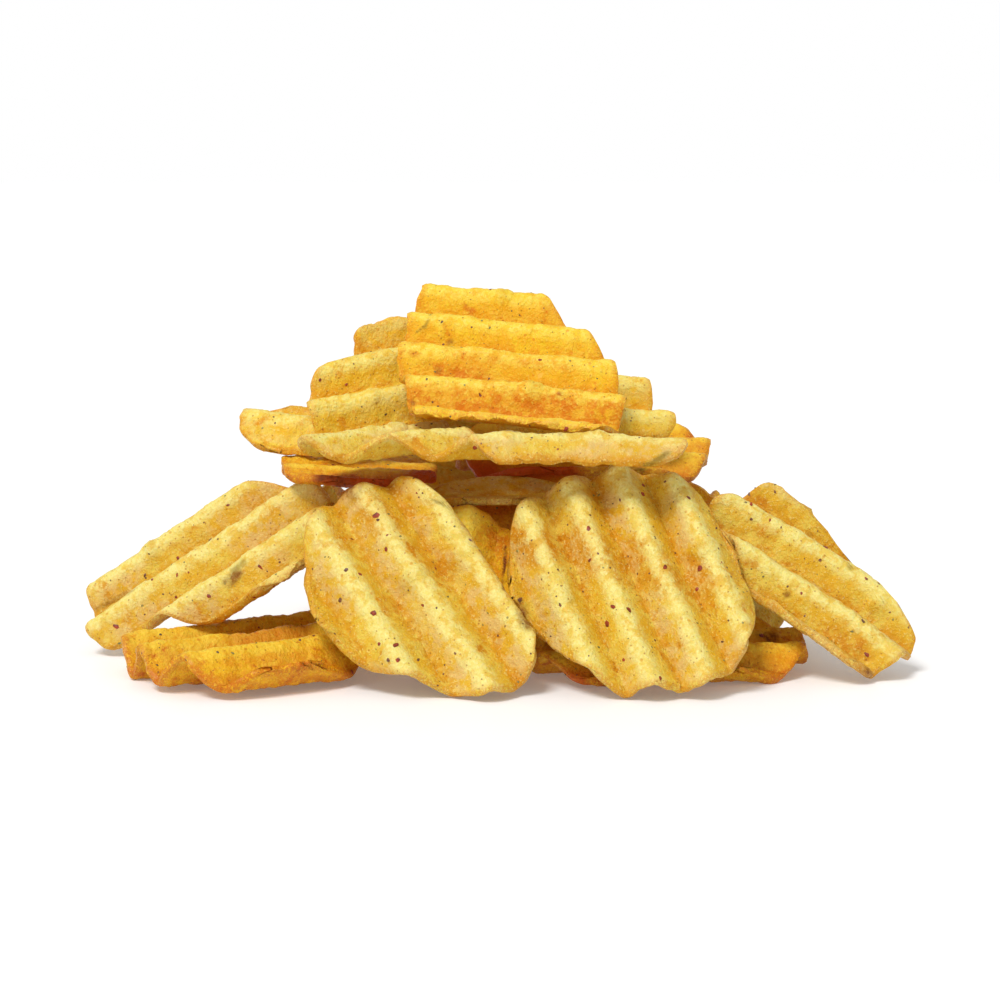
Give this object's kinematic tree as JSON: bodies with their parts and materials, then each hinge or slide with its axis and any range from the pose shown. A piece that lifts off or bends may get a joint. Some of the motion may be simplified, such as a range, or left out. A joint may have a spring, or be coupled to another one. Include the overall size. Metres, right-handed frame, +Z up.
{
  "type": "heap of ridged potato crisps",
  "caption": "Loose heap of deep-ridged potato crisps, each a thin wavy slice, leaning on one another on a bare surface.",
  "frame": {"origin": "middle of the heap's bounding box, at the level of the surface that it lies on", "axes": "+X to the viewer's right along the heap's longest extent, +Z up, the side in the picture faces -Y"},
  "size_m": [0.1644, 0.0976, 0.0728],
  "materials": {
    "pale_crisp": "matte fried surface, pale yellow",
    "golden_crisp": "matte fried surface, golden",
    "toasted_crisp": "matte fried surface, orange-brown"
  },
  "bodies": {
    "root": {"floor_left_crisp": "toasted_crisp", "floor_right_crisp": "toasted_crisp", "front_left_crisp": "pale_crisp", "front_right_crisp": "pale_crisp", "middle_front_crisp": "golden_crisp", "middle_back_crisp": "golden_crisp", "left_wing_crisp": "pale_crisp", "right_wing_crisp": "pale_crisp", "right_prop_crisp": "pale_crisp", "back_left_crisp": "pale_crisp", "back_right_crisp": "golden_crisp", "back_middle_crisp": "golden_crisp", "ledge_crisp": "pale_crisp", "cap_left_crisp": "golden_crisp", "cap_right_crisp": "toasted_crisp", "shelf_crisp": "pale_crisp", "top_left_crisp": "golden_crisp", "upper_right_crisp": "golden_crisp", "upper_left_crisp": "golden_crisp", "upper_back_crisp": "pale_crisp", "summit_crisp": "golden_crisp"}
  },
  "joints": []
}
